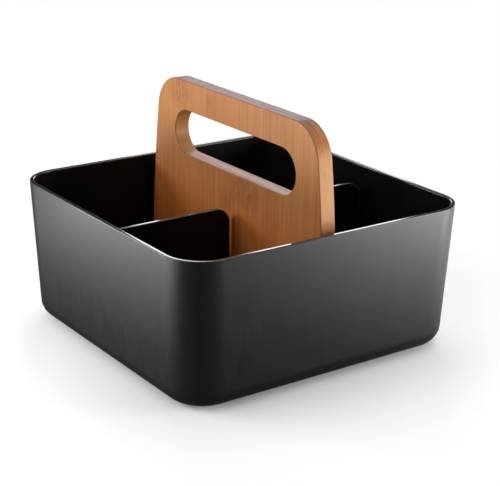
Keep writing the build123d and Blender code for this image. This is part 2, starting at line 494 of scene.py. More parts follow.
def tub_ribs(tub, socket, materials):
    """Seat, rails and guides as one body, in smooth skin."""
    root = tub.base_height + tub.wall / 2
    floor = tub.base_height + tub.wall
    half_length, half_width = tub.rim_length / 2, tub.rim_width / 2
    face, thick = socket.rail_face, socket.rail_thickness
    seat = rectangle((-half_length, -face), (half_length, face))
    rails = (
        rectangle((socket.guide_face, root), (half_length, floor + socket.rail_height)),
        rib_outline(tub, socket, tub.rim_length, socket.end_guide_top),
    )
    guides = (
        rectangle((face + thick / 2, root), (half_width, floor + socket.floor_guide_height)),
        rib_outline(tub, socket, tub.rim_width, socket.wall_guide_top),
    )
    rail_depths = (face, face + thick)
    guide_depths = (socket.guide_face, socket.guide_face + socket.guide_thickness)
    ribs = prism("ribs", seat, upright, (root, floor + socket.seat_height))
    for sx in (-1, 1):
        for sy in (-1, 1):
            def along_board(a, b, depth):
                return (sx * a, sy * depth, b)

            def across_board(a, b, depth):
                return (sx * depth, sy * a, b)

            for outline in rails:
                rib = prism("rib", outline, along_board, rail_depths, RIB_EASE)
                combine(ribs, rib, "UNION")
            for outline in guides:
                rib = prism("rib", outline, across_board, guide_depths, RIB_EASE)
                combine(ribs, rib, "UNION")
    combine(ribs, tub_core(tub, tub.wall / 2), "INTERSECT")
    ribs.data.materials.clear()
    add_materials(ribs.data, materials)
    for polygon in ribs.data.polygons:
        polygon.material_index = SMOOTH
    return ribs


def underside_edge(tub, size):
    """Distance from the middle to the edge of the flat underside."""
    return wall_at(tub, size, tub.base_radius, tub.base_height)


def foot_places(tub, socket):
    """Centres of the four feet, by name."""
    x = underside_edge(tub, tub.rim_length) - socket.foot_inset
    y = underside_edge(tub, tub.rim_width) - socket.foot_inset
    return {f"foot_{row}_{column}": (sx * x, sy * y) for row, sy in ROWS for column, sx in COLUMNS}


def underside_cutter(tub, socket, screw_x):
    """Everything that is hollow beneath the tub, as one body."""
    ceiling = tub.base_height + socket.recess
    through = tub.base_height + tub.wall + socket.seat_height + CUT_THROUGH
    half_x = underside_edge(tub, tub.rim_length) - socket.ring_width
    half_y = underside_edge(tub, tub.rim_width) - socket.ring_width
    outline = rounded_outline(half_x, half_y, socket.recess_round)
    cutter = prism("recess", outline, upright, (-CUT_THROUGH, ceiling))
    gap = socket.core_out_gap
    margin = socket.pocket_radius + gap
    hollows = ((gap / 2, screw_x - margin), (screw_x + margin, half_x - gap))
    pocket_depths = (-CUT_THROUGH, socket.pocket_ceiling)
    holes = []
    for _, side in COLUMNS:
        x = side * screw_x
        holes.append(drum("pocket", x, 0, socket.pocket_radius, *pocket_depths))
        holes.append(drum("hole", x, 0, socket.shank_hole, -CUT_THROUGH, through, SHANK_HOLE_STEPS))
        for start, end in hollows:
            middle, reach = side * (start + end) / 2, (end - start) / 2
            slot = rounded_outline(reach, socket.core_out_width / 2, HOLLOW_CORNER, HOLLOW_STEPS)
            slot = [(middle + a, b) for a, b in slot]
            holes.append(prism("hollow", slot, upright, pocket_depths))
    foot_depths = (-CUT_THROUGH, ceiling + socket.foot_socket)
    for x, y in foot_places(tub, socket).values():
        holes.append(drum("socket", x, y, socket.foot_hole, *foot_depths))
    for hole in holes:
        combine(cutter, hole, "UNION")
    return cutter


# ---------------------------------------------------------------- boards and panels

# Points of an outline nearer together than this are one point
SAME_POINT = 1e-7
# Faces over the rounded edge of a board or panel
EDGE_STEPS = 5
# Faces round the board's corners, up its sides, and along its top and its foot
LOW_CORNER_STEPS, TOP_CORNER_STEPS, SIDE_STEPS = 14, 28, 24
TOP_PARTS, FOOT_PARTS = 20, 24
# Faces round each end of the hand slot, and along its two straight runs
GRIP_STEPS, GRIP_PARTS = 40, 20
# Faces round a divider's corners, and along each of its sides
PANEL_FOOT_STEPS, PANEL_WALL_STEPS, PANEL_TOP_STEPS = 3, 14, 20
PANEL_PARTS = 12
# Radius of a divider's lower corner beside the board
PANEL_FOOT_ROUND = 0.7 * MM
# A divider's face that points along X by more than this is one of its flat sides
FLAT_SIDE = 0.9


def arc(cx, cy, radius, start, end, steps, hollow=False):
    """Points of an arc as (x, y, normal x, normal y). A hollow arc's normals point inwards."""
    sign = -1 if hollow else 1
    points = []
    for step in range(steps + 1):
        turn = start + (end - start) * step / steps
        out = (math.cos(turn), math.sin(turn))
        points.append((cx + radius * out[0], cy + radius * out[1], sign * out[0], sign * out[1]))
    return points


def closed_outline(*parts):
    """Outline of arcs. A number between two arcs is how many parts their joining line has."""
    points = []
    for k, part in enumerate(parts):
        if not isinstance(part, int):
            points += part
            continue
        start, end = parts[k - 1][-1], parts[(k + 1) % len(parts)][0]
        for step in range(1, part):
            x, y = (a + (b - a) * (step / part) for a, b in zip(start[:2], end[:2]))
            points.append((x, y, start[2], start[3]))
    kept = []
    for point in points:
        before = kept[-1] if kept else points[-1]
        if math.hypot(point[0] - before[0], point[1] - before[1]) > SAME_POINT:
            kept.append(point)
    return kept


def slab(outlines, place, rows):
    """Closed plate with holes: rows of (depth, inset) from one flat face to the other."""
    bm = bmesh.new()
    first, last = [], []
    for outline in outlines:
        rings = add_rings(bm, [
            [place(x - nx * inset, y - ny * inset, depth) for x, y, nx, ny in outline]
            for depth, inset in rows
        ])
        first.append(rings[0])
        last.append(rings[-1])
    for borders in (first, last):
        if len(borders) == 1:
            bm.faces.new(borders[0])
            continue
        edges = []
        for ring in borders:
            edges += [bm.edges.get((ring[k - 1], ring[k])) for k in range(len(ring))]
        bmesh.ops.triangle_fill(bm, use_beauty=True, use_dissolve=False, edges=edges)
    return bm


def rounded_rows(depth, radius):
    """Rows of (depth, inset) that round the edge of a face at a depth, towards the face."""
    sign = 1 if depth > 0 else -1
    rows = []
    for step in range(EDGE_STEPS + 1):
        turn = QUARTER * step / EDGE_STEPS
        rows.append((depth - sign * radius * (1 - math.sin(turn)), radius * (1 - math.cos(turn))))
    return rows


def board_outline(board):
    """Outline of the handle board in X and Z."""
    centre = board.side_radius - board.reach
    corners = []
    for height, radius in ((board.foot + board.foot_round, board.foot_round),
                           (board.top - board.top_round, board.top_round)):
        reach = board.side_radius - radius
        rise = height - board.widest
        x = math.sqrt(reach * reach - rise * rise) - centre
        corners.append((x, height, radius, math.asin(rise / reach)))
    (low_x, *low, low_turn), (top_x, *top, top_turn) = corners
    side = (board.widest, board.side_radius)
    return closed_outline(
        arc(low_x, *low, -QUARTER, low_turn, LOW_CORNER_STEPS),
        arc(-centre, *side, low_turn, top_turn, SIDE_STEPS),
        arc(top_x, *top, top_turn, QUARTER, TOP_CORNER_STEPS),
        TOP_PARTS,
        arc(-top_x, *top, QUARTER, math.pi - top_turn, TOP_CORNER_STEPS),
        arc(centre, *side, math.pi - top_turn, math.pi - low_turn, SIDE_STEPS),
        arc(-low_x, *low, math.pi - low_turn, 3 * QUARTER, LOW_CORNER_STEPS),
        FOOT_PARTS,
    )


def grip_outline(board):
    """Outline of the hand slot in X and Z, clockwise, with normals into the slot."""
    radius = board.grip_height / 2
    reach = board.grip_length / 2 - radius
    height = board.top - board.grip_bar - radius
    return closed_outline(
        arc(reach, height, radius, QUARTER, -QUARTER, GRIP_STEPS, hollow=True),
        GRIP_PARTS,
        arc(-reach, height, radius, -QUARTER, -3 * QUARTER, GRIP_STEPS, hollow=True),
        GRIP_PARTS,
    )


def divider_outline(divider, tub):
    """Outline of the back divider in Y and Z."""
    foot = tub.base_height + tub.wall
    inset = tub.wall + divider.wall_gap
    low = wall_at(tub, tub.rim_width, inset, foot)
    high = wall_at(tub, tub.rim_width, inset, divider.top)
    near = divider.board_side + math.tan(divider.lean) * (divider.top - foot)
    # Each corner with its radius and the faces round it
    corners = (
        ((divider.board_side, foot), PANEL_FOOT_ROUND, PANEL_FOOT_STEPS),
        ((low, foot), tub.base_radius, PANEL_WALL_STEPS),
        ((high, divider.top), divider.corner_radius, PANEL_TOP_STEPS),
        ((near, divider.top), divider.corner_radius, PANEL_TOP_STEPS),
    )
    parts = []
    for k, (corner, radius, steps) in enumerate(corners):
        here = Vector(corner)
        before = (Vector(corners[k - 1][0]) - here).normalized()
        after = (Vector(corners[(k + 1) % len(corners)][0]) - here).normalized()
        half = before.angle(after) / 2
        centre = here + (before + after).normalized() * radius / math.sin(half)
        start = math.atan2(before.x, -before.y)
        end = math.atan2(-after.x, after.y)
        if end < start:
            end += math.tau
        parts += [arc(centre.x, centre.y, radius, start, end, steps), PANEL_PARTS]
    return closed_outline(*parts)


# ---------------------------------------------------------------- fasteners

# Rounded head of a screw: share of the head's radius, and height above its lowest face
HEAD_PROFILE = (
    (0.55, 0.0), (0.72, 0.08 * MM), (0.86, 0.3 * MM), (0.95, 0.7 * MM), (0.992, 1.2 * MM),
    (1.0, 1.7 * MM),
)
# Upper edge of the head: its height, and the share of the head's radius at its top
HEAD_EDGE, HEAD_LIP = 0.15 * MM, 0.97
# Radius of the neck under the head, over the core's
NECK = 1.15
SCREW_STEPS = 32
THREAD_ROWS = 176
# The thread: how sharp its crest is, and how soon it reaches its full height under the head
CREST_SHARPNESS = 3.2
RUN_IN = 1.5 * MM
# The point: its length, and the share of the radius that is left at its end
POINT_LENGTH = 4 * MM
POINT_BLUNT = 0.06
# The cross recess: half length and half width of an arm, how far its cutter starts below the
# head and reaches into it, and the share of its width that is left there
CROSS_ARM, CROSS_SLOT = 1.9 * MM, 0.4 * MM
CROSS_MOUTH, CROSS_DEPTH = 0.2 * MM, 1.3 * MM
CROSS_TAPER = 0.62
# A foot: faces round it, rings over its flat face, faces over its lower edge, and its upper edge
FOOT_STEPS = 64
FOOT_RINGS = (0.30, 0.55, 0.8)
FOOT_ROUND_STEPS = 4
FOOT_TOP_EASE = 0.1 * MM


def screw_rings(x, fastener, base, ceiling):
    """Rings of a screw from its head up to its point, with a helical thread."""
    head, core = fastener.head_radius, fastener.core_radius
    profile = [(part * head, base + height) for part, height in HEAD_PROFILE]
    profile += [(head, ceiling - HEAD_EDGE), (HEAD_LIP * head, ceiling), (core * NECK, ceiling)]
    rings = lathe_rings(x, 0, profile, SCREW_STEPS)
    end = ceiling + fastener.screw_length
    for row in range(1, THREAD_ROWS + 1):
        z = ceiling + (end - ceiling) * row / THREAD_ROWS
        taper = min(1.0, (end - z) / POINT_LENGTH + POINT_BLUNT)
        run_in = min(1.0, (z - ceiling) / RUN_IN)
        ring = []
        for k in range(SCREW_STEPS):
            phase = ((z - ceiling) / fastener.thread_pitch - k / SCREW_STEPS) % 1.0
            crest = max(0.0, 1.0 - abs(phase - 0.5) * CREST_SHARPNESS)
            radius = core + (fastener.screw_radius - core) * crest * run_in
            turn = math.tau * k / SCREW_STEPS
            ring.append((
                x + radius * taper * math.cos(turn), radius * taper * math.sin(turn), z,
            ))
        rings.append(ring)
    return rings


def make_screw(name, x, fastener, ceiling, material):
    """One screw, standing on its head, with a cross recess."""
    base = ceiling - fastener.head_height
    piece = new_object(name, closed_body(screw_rings(x, fastener, base, ceiling)), material)
    for half_x, half_y in ((CROSS_ARM, CROSS_SLOT), (CROSS_SLOT, CROSS_ARM)):
        mouth = rectangle((x - half_x, -half_y), (x + half_x, half_y))
        low = [(a, b, base - CROSS_MOUTH) for a, b in mouth]
        high = [(x + (a - x) * CROSS_TAPER, b * CROSS_TAPER, base + CROSS_DEPTH) for a, b in mouth]
        combine(piece, new_object("cross", closed_body([low, high])), "DIFFERENCE")
    return piece


def foot_body(x, y, fastener):
    """Round pad with a soft lower edge and an eased upper one."""
    radius, height, ease = fastener.foot_radius, fastener.foot_height, fastener.foot_round
    flat = radius - ease
    profile = [(radius * part, 0.0) for part in FOOT_RINGS] + [(flat, 0.0)]
    for step in range(1, FOOT_ROUND_STEPS + 1):
        turn = QUARTER * step / FOOT_ROUND_STEPS
        profile.append((flat + ease * math.sin(turn), ease - ease * math.cos(turn)))
    profile += [(radius, height - FOOT_TOP_EASE), (radius - FOOT_TOP_EASE, height)]
    return closed_body(lathe_rings(x, y, profile, FOOT_STEPS))


# ---------------------------------------------------------------- shader nodes

FLOAT, VECTOR, COLOUR = "NodeSocketFloat", "NodeSocketVector", "NodeSocketColor"


class Graph:
    """Short hand for making and joining shader nodes in a tree."""

    def __init__(self, tree):
        self.tree = tree

    def node(self, kind, inputs=None, **values):
        """Adds a node, sets its properties and joins or sets its inputs."""
        made = self.tree.nodes.new(kind)
        for key, value in values.items():
            setattr(made, key, value)
        for key, value in (inputs or {}).items():
            self.feed(made.inputs[key], value)
        return made

    def feed(self, socket, value):
        """Joins a socket to another one, or sets its value."""
        if isinstance(value, bpy.types.NodeSocket):
            self.tree.links.new(value, socket)
        else:
            socket.default_value = value

    def math(self, operation, *values, clamp=False):
        """Result of a math node."""
        made = self.node(
            "ShaderNodeMath", dict(enumerate(values)), operation=operation, use_clamp=clamp)
        return made.outputs[0]

    def times(self, first, *others):
        """Product of values."""
        for value in others:
            first = self.math("MULTIPLY", first, value)
        return first

    def plus(self, first, *others):
        """Sum of values."""
        for value in others:
            first = self.math("ADD", first, value)
        return first

    def vector(self, operation, *values):
        """Outputs of a vector math node."""
        made = self.node("ShaderNodeVectorMath", dict(enumerate(values)), operation=operation)
        return made.outputs

    def scaled(self, vector, scale):
        """Vector times another one. The socket of a single value scales all three axes."""
        return self.vector("MULTIPLY", vector, scale)["Vector"]

    def parts(self, vector):
        """X, Y and Z of a vector."""
        return self.node("ShaderNodeSeparateXYZ", {"Vector": vector}).outputs

    def place(self):
        """Place on the object, in metres."""
        return self.node("ShaderNodeTexCoord").outputs["Object"]

    def noise(self, place, scale, detail, roughness):
        """Value of a noise texture. The scale, per metre, is one value or one for each axis."""
        if isinstance(scale, tuple):
            place, scale = self.scaled(place, scale), 1.0
        return self.node("ShaderNodeTexNoise", {
            "Vector": place, "Scale": scale, "Detail": detail, "Roughness": roughness,
        }).outputs["Fac"]

    def ranged(self, value, low, high, to_low=0.0, to_high=1.0, smooth=False):
        """Value mapped from one range to another, held at its ends."""
        return self.node("ShaderNodeMapRange", {
            "Value": value, "From Min": low, "From Max": high, "To Min": to_low, "To Max": to_high,
        }, interpolation_type="SMOOTHSTEP" if smooth else "LINEAR").outputs["Result"]

    def mix(self, part, first, second, blend="MIX"):
        """Mix of two colours."""
        made = self.node("ShaderNodeMix", data_type="RGBA", blend_type=blend, clamp_factor=True)
        for index, value in ((0, part), (6, first), (7, second)):
            self.feed(made.inputs[index], value)
        return made.outputs[2]

    def mix_shaders(self, part, first, second):
        """Mix of two shaders."""
        inputs = {0: part, 1: first.outputs[0], 2: second.outputs[0]}
        return self.node("ShaderNodeMixShader", inputs)

    def group(self, name, maker, **inputs):
        """Outputs of a shader group with its inputs set. The group is made on its first use."""
        tree = bpy.data.node_groups.get(name) or maker(name)
        inputs = {key.replace("_", " "): value for key, value in inputs.items()}
        return self.node("ShaderNodeGroup", inputs, node_tree=tree).outputs


def rgba(tint, strength=1.0):
    """Opaque colour, made lighter or darker."""
    return tuple(min(1.0, strength * value) for value in tint) + (1,)


def start_group(name, inputs, outputs):
    """New shader group with named sockets. Returns its graph, input sockets and output sockets."""
    tree = bpy.data.node_groups.new(name, "ShaderNodeTree")
    for socket, kind, default in inputs:
        made = tree.interface.new_socket(name=socket, in_out="INPUT", socket_type=kind)
        if default is not None:
            made.default_value = default
    for socket, kind in outputs:
        tree.interface.new_socket(name=socket, in_out="OUTPUT", socket_type=kind)
    graph = Graph(tree)
    return graph, graph.node("NodeGroupInput").outputs, graph.node("NodeGroupOutput").inputs


def start_tree(owner):
    """Graph of the emptied node tree of a material or a world."""
    owner.use_nodes = True
    owner.node_tree.nodes.clear()
    return Graph(owner.node_tree)


def start_material(name):
    """New material with one shader. Returns it, its graph and its shader node."""
    material = bpy.data.materials.new(name)
    graph = start_tree(material)
    shader = graph.node("ShaderNodeBsdfPrincipled")
    graph.node("ShaderNodeOutputMaterial", {"Surface": shader.outputs[0]})
    return material, graph, shader


def dress(graph, shader, base, roughness, height, strength, distance):
    """Joins a base colour, a roughness and the bump of a height to a shader."""
    bump = graph.node("ShaderNodeBump", {
        "Height": height, "Strength": strength, "Distance": distance,
    })
    graph.feed(shader.inputs["Base Color"], base)
    graph.feed(shader.inputs["Roughness"], roughness)
    graph.feed(shader.inputs["Normal"], bump.outputs["Normal"])


# ---------------------------------------------------------------- shader groups

# Browns of the bamboo between and over its fibres
SEAM_BROWN = (0.16, 0.055, 0.02, 1)
KNUCKLE_BROWN = (0.22, 0.075, 0.03, 1)
PATCH_BROWN = (0.27, 0.075, 0.024, 1)


def moulded_skin(name):
    """Fine spark-eroded grain with a soft cloudiness and faint rub marks, for moulded plastic."""
    graph, given, made = start_group(
        name,
        (("Vector", VECTOR, None), ("Grain Scale", FLOAT, 2600.0), ("Roughness", FLOAT, 0.36),
         ("Cloudiness", FLOAT, 0.05), ("Rub Marks", FLOAT, 0.04)),
        (("Roughness", FLOAT), ("Height", FLOAT), ("Tone", FLOAT)),
    )
    place = given["Vector"]
    grain = graph.noise(place, given["Grain Scale"], 2.0, 0.6)
    flow = graph.noise(place, (300, 300, 110), 4.0, 0.6)
    cloud = graph.noise(place, 70.0, 3.0, 0.5)
    rubs = graph.ranged(graph.noise(place, (900, 900, 60), 2.0, 0.7), 0.62, 0.8)
    uneven = graph.plus(graph.times(flow, 0.6), graph.times(cloud, 0.4), -0.5)
    graph.feed(made["Roughness"], graph.plus(
        given["Roughness"], graph.times(uneven, given["Cloudiness"]),
        graph.times(rubs, given["Rub Marks"])))
    graph.feed(made["Height"], graph.plus(grain, graph.times(flow, 0.35)))
    graph.feed(made["Tone"], graph.ranged(graph.plus(uneven, 0.5), 0.3, 0.7))
    return graph.tree


def bamboo_grain(name):
    """Laminated bamboo: strips of uneven tone, long fibres and a darker knuckle here and there.

    The vector holds the place across the strips, through them and along the grain, in metres.
    """
    graph, given, made = start_group(
        name,
        (("Vector", VECTOR, None), ("Light", COLOUR, (0.56, 0.285, 0.125, 1)),
         ("Dark", COLOUR, (0.34, 0.145, 0.052, 1)), ("Strip Scale", FLOAT, 130.0),
         ("Fibre Scale", FLOAT, 900.0), ("Seams", FLOAT, 0.25), ("Knuckles", FLOAT, 0.7),
         ("Patch", FLOAT, 0.0), ("Roughness", FLOAT, 0.46)),
        (("Color", COLOUR), ("Roughness", FLOAT), ("Height", FLOAT)),
    )
    place = given["Vector"]
    parts = graph.parts(place)
    strip, seam = (
        graph.node("ShaderNodeTexVoronoi", {"W": parts["X"], "Scale": given["Strip Scale"]},
                   voronoi_dimensions="1D", feature=feature).outputs
        for feature in ("F1", "DISTANCE_TO_EDGE")
    )
    # Three chances of each strip: its tone, where its knuckles lie and whether it has any
    chance = graph.node("ShaderNodeSeparateColor", {"Color": strip["Color"]}).outputs
    fibres = graph.scaled(graph.scaled(place, (1.0, 1.0, 0.016)), given["Fibre Scale"])
    fibre = graph.noise(fibres, 1.0, 3.0, 0.62)
    fine = graph.noise(fibres, (3.1, 3.1, 2.2), 2.0, 0.6)
    broad = graph.noise(place, (60, 60, 14), 2.0, 0.5)
    dash = graph.noise(place, (1500, 1500, 90), 1.0, 0.5)

    tone = graph.plus(
        graph.times(graph.ranged(fibre, 0.34, 0.66), 0.47),
        graph.times(graph.ranged(fine, 0.3, 0.7), 0.14),
        graph.times(chance["Red"], 0.2),
        graph.times(graph.ranged(broad, 0.3, 0.7), 0.22),
    )
    tone = graph.math("SUBTRACT", tone, graph.ranged(dash, 0.66, 0.76, 0.0, 0.22), clamp=True)
    shade = graph.mix(tone, given["Dark"], given["Light"])

    seam = graph.times(
        graph.ranged(seam["Distance"], 0.0, 0.06, 1.0, 0.0, smooth=True), given["Seams"])
    shade = graph.mix(seam, shade, SEAM_BROWN)

    rise = graph.plus(graph.times(parts["Z"], 5.2), graph.times(chance["Green"], 7.0))
    near = graph.math("ABSOLUTE", graph.plus(graph.math("FRACT", rise), -0.5))
    ragged = graph.ranged(graph.noise(place, (420, 420, 260), 3.0, 0.65), 0.34, 0.62)
    knuckle = graph.plus(graph.ranged(near, 0.0, 0.048, 1.0, 0.0, smooth=True), -0.15)
    knuckle = graph.times(
        graph.math("MAXIMUM", knuckle, 0.0), ragged, graph.ranged(chance["Blue"], 0.52, 0.6))
    knuckle = graph.math("MULTIPLY", knuckle, given["Knuckles"], clamp=True)
    shade = graph.mix(knuckle, shade, KNUCKLE_BROWN)
    mottle = graph.ranged(graph.noise(place, (620, 620, 170), 4.0, 0.7), 0.38, 0.62)
    patch = graph.math("MULTIPLY", graph.times(given["Patch"], mottle), 0.62, clamp=True)
    graph.feed(made["Color"], graph.mix(patch, shade, PATCH_BROWN))

    graph.feed(made["Roughness"], graph.plus(
        given["Roughness"], graph.times(graph.plus(fibre, -0.5), 0.22),
        graph.times(knuckle, -0.05)))
    graph.feed(made["Height"], graph.plus(fibre, graph.times(fine, 0.4), graph.times(seam, -0.8)))
    return graph.tree


def board_edges(name):
    """Where a laminated board darkens, at its rounded edges and glue joints and in streaks, with
    masks of its end faces and of its up-facing top, which carries a painted sheen.
    """
    graph, given, made = start_group(
        name,
        (("Vector", VECTOR, None), ("Facing", VECTOR, None), ("Half Thickness", FLOAT, 0.00515),
         ("Edge Round", FLOAT, 0.0006), ("Glue Joint", FLOAT, 0.00255)),
        (("Line", FLOAT), ("Streak", FLOAT), ("End", FLOAT), ("Top", FLOAT)),
    )
    facing = graph.parts(given["Facing"])
    across = graph.math("ABSOLUTE", graph.parts(given["Vector"])["Y"])
    # Place over the rounded edge: nought at the face, one where the flat edge begins
    inner = graph.math("SUBTRACT", given["Half Thickness"], across)
    inner = graph.math("DIVIDE", inner, given["Edge Round"])
    round_line = graph.times(graph.ranged(inner, 0.03, 0.2, smooth=True),
                             graph.ranged(inner, 0.75, 1.15, 1.0, 0.0, smooth=True))
    gap = graph.math("ABSOLUTE", graph.math("SUBTRACT", across, given["Glue Joint"]))
    joint = graph.times(graph.ranged(gap, 0.00005, 0.0003, 0.7, 0.0, smooth=True),
                        graph.ranged(facing["Z"], 0.7, 0.97, 0.25, 1.0, smooth=True))
    graph.feed(made["Line"], graph.math("MAXIMUM", round_line, joint))
    streak = graph.ranged(graph.noise(given["Vector"], (16, 560, 16), 3.0, 0.6), 0.46, 0.58)
    graph.feed(made["Streak"], graph.times(
        streak, graph.ranged(facing["Z"], 0.6, 0.95, 0.15, 1.0, smooth=True),
        graph.ranged(inner, 0.05, 0.3, smooth=True)))
    graph.feed(made["Top"], graph.ranged(facing["Z"], 0.93, 0.995, smooth=True))
    sideways = graph.math("ABSOLUTE", facing["X"])
    graph.feed(made["End"], graph.ranged(sideways, 0.8, 0.98, smooth=True))
    return graph.tree


# ---------------------------------------------------------------- materials

# Dark knuckle patches of the face plies: x, y and z of the middle, half width and half height
KNUCKLE_PATCHES = (
    (-0.060, -0.005, 0.141, 0.013, 0.011),
    (0.015, -0.005, 0.094, 0.017, 0.012),
    (-0.028, 0.005, 0.048, 0.014, 0.012),
    (0.055, 0.005, 0.136, 0.013, 0.010),
)
# Heights between which the board's faces darken into a painted shade, down among the dark walls
PAINTED_SHADE_FADE = (0.112, 0.05)
PAINTED_SHADE_TINT = (1.09, 0.73, 0.43, 1)
# Heights between which the painted sheen and the streaks go from the hand slot's floor to the
# board's top
GRIP_TO_TOP = (0.118, 0.14)
# Painted sheen: greyish violet that up-facing wood takes, lighter on the hand slot's floor and
# darker on the board's top
GRIP_SHEEN_TINT = (0.40, 0.33, 0.355, 1)
TOP_SHEEN_TINT = (0.195, 0.135, 0.148, 1)
# Lighter, yellower tone of the end faces: partly the end grain's own hue, partly painted light
# where the side lamp falls
END_AMBER = (0.80, 0.42, 0.12, 1)
STREAK_BROWN = (0.17, 0.07, 0.055, 1)
# Brown of the dark line over the rounded edges and at the glue joints
EDGE_LINE_BROWN = (0.16, 0.045, 0.018, 1)
# Bamboo: strips per metre, and how much its seams and knuckles show
FACE_GRAIN = {"Strip_Scale": 120.0, "Seams": 0.12, "Knuckles": 0.35}
CORE_GRAIN = {"Strip_Scale": 520.0, "Seams": 0.6, "Knuckles": 0.3}
FIBRES_PER_METRE = 900.0
BAMBOO_IOR = 1.37

# Moulded skins: grains per metre and their depth, IOR, cloudiness, and the grey of the painted
# highlight on eased edges
SKINS = {
    "Tub textured": {"grain": 2600.0, "depth": 0.04 * MM, "ior": 1.5, "cloud": 0.2, "painted_sheen": 0.0},
    "Tub smooth": {"grain": 4200.0, "depth": 0.01 * MM, "ior": 1.22, "cloud": 0.12, "painted_sheen": 0.0},
    "Tub rim": {"grain": 6000.0, "depth": 0.002 * MM, "ior": 1.5, "cloud": 0.12, "painted_sheen": 0.05},
    "Divider sides": {"grain": 3800.0, "depth": 0.01 * MM, "ior": 1.25, "cloud": 0.12, "painted_sheen": 0.0},
    "Divider edges": {"grain": 6000.0, "depth": 0.002 * MM, "ior": 1.5, "cloud": 0.12, "painted_sheen": 0.1},
}
# Darkest and lightest tone of a skin, and its rub marks, as shares of its colour and cloudiness
SKIN_DARK, SKIN_LIGHT = 0.82, 1.25
SKIN_RUBS = 0.08

# Strengths of the bumps, and the depths of the fine marks
SKIN_BUMP, BAMBOO_BUMP, STEEL_BUMP, RUBBER_BUMP = 0.35, 0.3, 0.2, 0.3
FIBRE_DEPTH, TURNED_DEPTH, RUBBER_DEPTH = 0.12 * MM, 0.02 * MM, 0.05 * MM
STEEL_STAIN, RUBBER_DUST = 0.72, 2.2


def plastic_material(name, base, roughness):
    """Moulded black plastic with one of the skins, and eased edges that may carry a lighter grey, a
    painted highlight.
    """
    material, graph, shader = start_material(name)
    look = SKINS[name]
    skin = graph.group(
        "Moulded skin", moulded_skin, Vector=graph.place(), Grain_Scale=look["grain"],
        Roughness=roughness, Cloudiness=look["cloud"], Rub_Marks=SKIN_RUBS * look["cloud"],
    )
    shade = graph.mix(skin["Tone"], rgba(base, SKIN_DARK), rgba(base, SKIN_LIGHT))
    # Painted highlight: eased edges take a lighter grey, as if they caught the light
    if look["painted_sheen"]:
        facing = graph.node("ShaderNodeNewGeometry").outputs["Normal"]
        tilt = graph.parts(facing)["Z"]
        eased = graph.times(graph.ranged(tilt, 0.2, 0.5), graph.ranged(tilt, 0.9, 0.98, 1.0, 0.3))
        shade = graph.mix(eased, shade, rgba((look["painted_sheen"],) * 3))
    dress(graph, shader, shade, skin["Roughness"], skin["Height"], SKIN_BUMP, look["depth"])
    shader.inputs["IOR"].default_value = look["ior"]
    return material


def knuckle_patches(graph, place):
    """Mask of the dark knuckle patches on the face plies."""
    mask = 0.0
    for x, y, z, half_width, half_height in KNUCKLE_PATCHES:
        apart = graph.vector("SUBTRACT", place, (x, y, z))["Vector"]
        apart = graph.scaled(apart, (1 / half_width, 1 / half_width, 1 / half_height))
        away = graph.vector("LENGTH", apart)["Value"]
        mask = graph.math(
            "MAXIMUM", mask, graph.ranged(away, 0.45, 1.25, 1.0, 0.0, smooth=True))
    return mask


def bamboo_material(name, finish, core=False):
    """Oiled bamboo, with upright grain on the face plies and lying grain in the core."""
    material, graph, shader = start_material(name)
    place = graph.place()
    parts = graph.parts(place)
    turned = graph.node("ShaderNodeCombineXYZ", {
        axis: parts[source] for axis, source in zip("XYZ", "YZX" if core else "XYZ")
    }).outputs[0]
    grain = graph.group(
        "Bamboo grain", bamboo_grain, Vector=turned,
        Light=rgba(finish.bamboo_light), Dark=rgba(finish.bamboo_dark),
        Fibre_Scale=FIBRES_PER_METRE, Roughness=finish.bamboo_roughness,
        Patch=0.0 if core else knuckle_patches(graph, place),
        **(CORE_GRAIN if core else FACE_GRAIN),
    )
    facing = graph.node("ShaderNodeNewGeometry").outputs["True Normal"]
    edges = graph.group("Board edges", board_edges, Vector=place, Facing=facing)
    # Painted shade: the faces turn darker and redder towards the foot of the board
    painted_shade = graph.ranged(parts["Z"], *PAINTED_SHADE_FADE, smooth=True)
    high = graph.ranged(parts["Z"], *GRIP_TO_TOP)
    shade = graph.mix(painted_shade, grain["Color"], PAINTED_SHADE_TINT, "MULTIPLY")
    # End faces mixed towards amber: partly their own hue, partly painted light of the side lamp
    shade = graph.mix(graph.times(edges["End"], 0.3), shade, END_AMBER)
    # Painted sheen: up-facing wood mixed towards grey violet, as if it mirrored a bright light
    painted_sheen = graph.times(edges["Top"], graph.ranged(high, 0.0, 1.0, 0.5, 0.8))
    shade = graph.mix(painted_sheen, shade, graph.mix(high, GRIP_SHEEN_TINT, TOP_SHEEN_TINT))
    streaks = graph.times(edges["Streak"], graph.ranged(high, 0.0, 1.0, 0.5, 0.95))
    shade = graph.mix(streaks, shade, STREAK_BROWN)
    # Dark line over the rounded edges and at the glue joints, fainter on the end faces
    lines = graph.times(edges["Line"], graph.ranged(edges["End"], 0.0, 1.0, 0.55, 0.35))
    shade = graph.mix(lines, shade, EDGE_LINE_BROWN)
    dress(graph, shader, shade, grain["Roughness"], grain["Height"], BAMBOO_BUMP, FIBRE_DEPTH)
    shader.inputs["IOR"].default_value = BAMBOO_IOR
    return material


def steel_material(finish):
    """Zinc plated steel with turned marks."""
    material, graph, shader = start_material("Plated steel")
    place = graph.place()
    marks = graph.noise(place, (900, 900, 9000), 2.0, 0.6)
    stain = graph.ranged(graph.noise(place, 700.0, 3.0, 0.6), 0.35, 0.7)
    shade = graph.mix(stain, rgba(finish.steel), rgba(finish.steel, STEEL_STAIN))
    dress(graph, shader, shade, graph.ranged(marks, 0.2, 0.8, 0.26, 0.46), marks,
          STEEL_BUMP, TURNED_DEPTH)
    shader.inputs["Metallic"].default_value = 1.0
    return material


